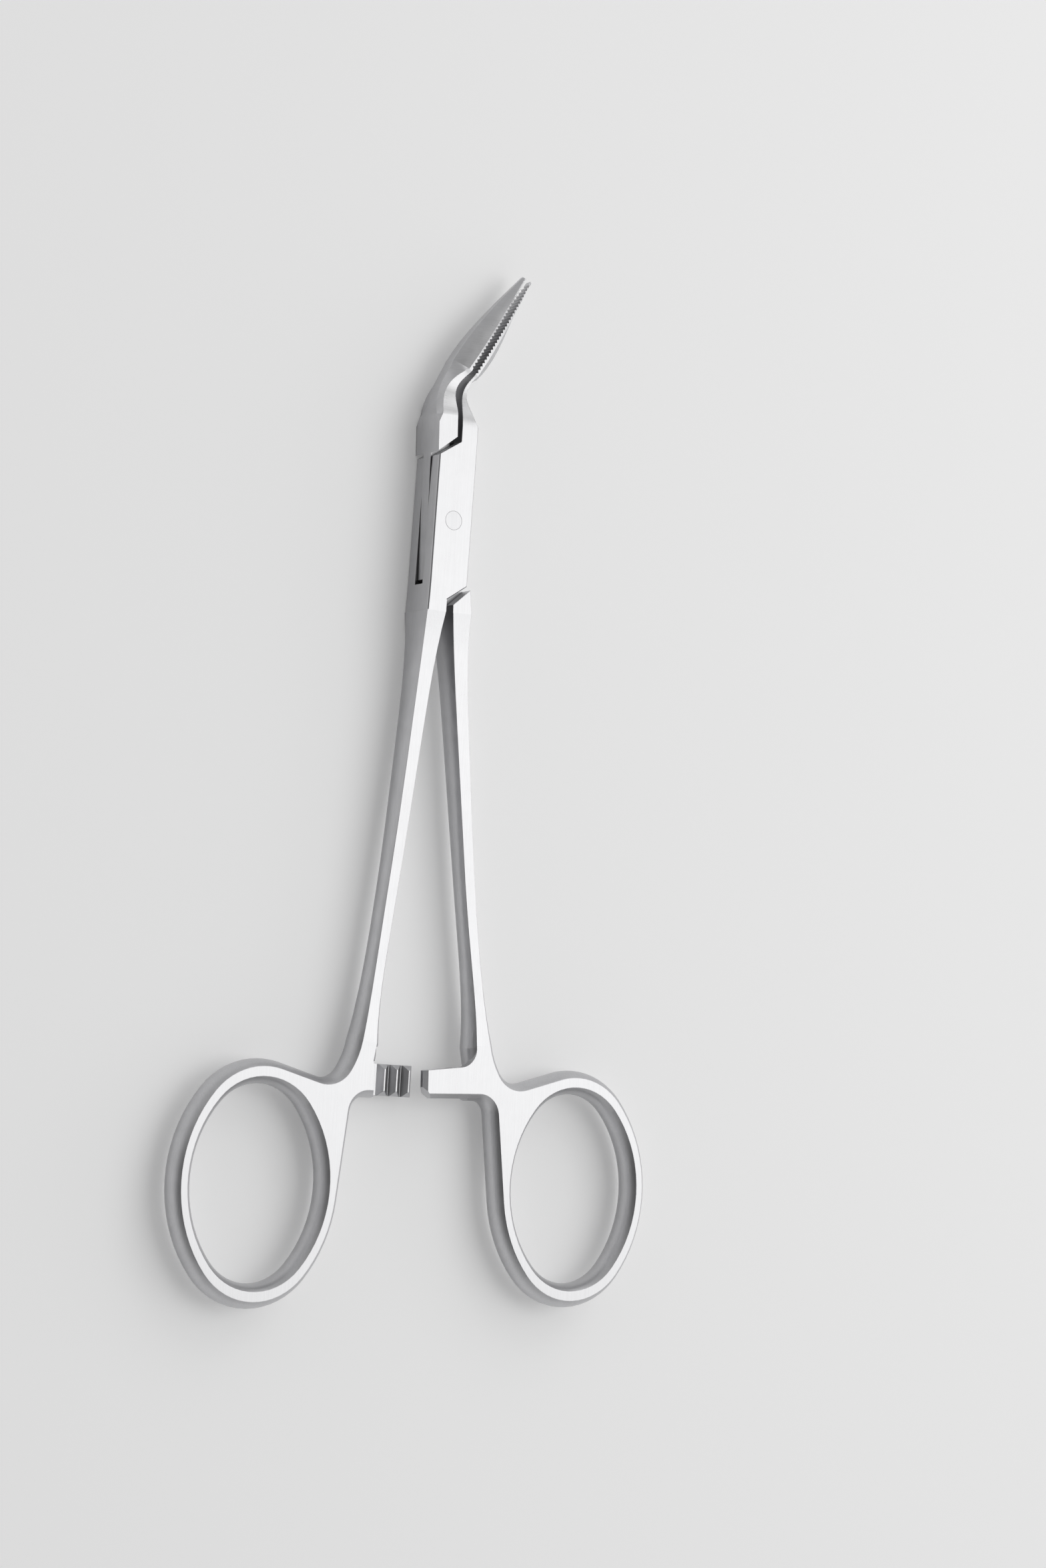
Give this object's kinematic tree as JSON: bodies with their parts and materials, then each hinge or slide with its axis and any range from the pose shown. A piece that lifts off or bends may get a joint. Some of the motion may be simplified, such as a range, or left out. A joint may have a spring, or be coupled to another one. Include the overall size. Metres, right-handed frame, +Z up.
{
  "type": "splinter forceps",
  "caption": "Locking splinter forceps with finger rings, a box lock, a ratchet and slim serrated jaws angled to one side.",
  "frame": {"origin": "on the pivot axis, at the underside of the lock", "axes": "+Y along the instrument towards the jaws, +Z up from the side it lies on to the side with the plain ratchet bar, +X to the side the jaws are angled to"},
  "size_m": [0.0743, 0.1434, 0.006],
  "materials": {
    "box_half": "satin brushed",
    "male_half": "satin brushed",
    "joint_pin": "satin, ground flush"
  },
  "bodies": {
    "box_body": {"box_half": "box_half", "joint_pin": "joint_pin"},
    "male_body": {"male_half": "male_half"}
  },
  "joints": [
    {"name": "box_lock", "type": "hinge", "parent": "box_body", "child": "male_body", "pos_m": [0, 0, 0], "axis": [0, 0, 1], "range_deg": [-1.1, 57.5]}
  ]
}
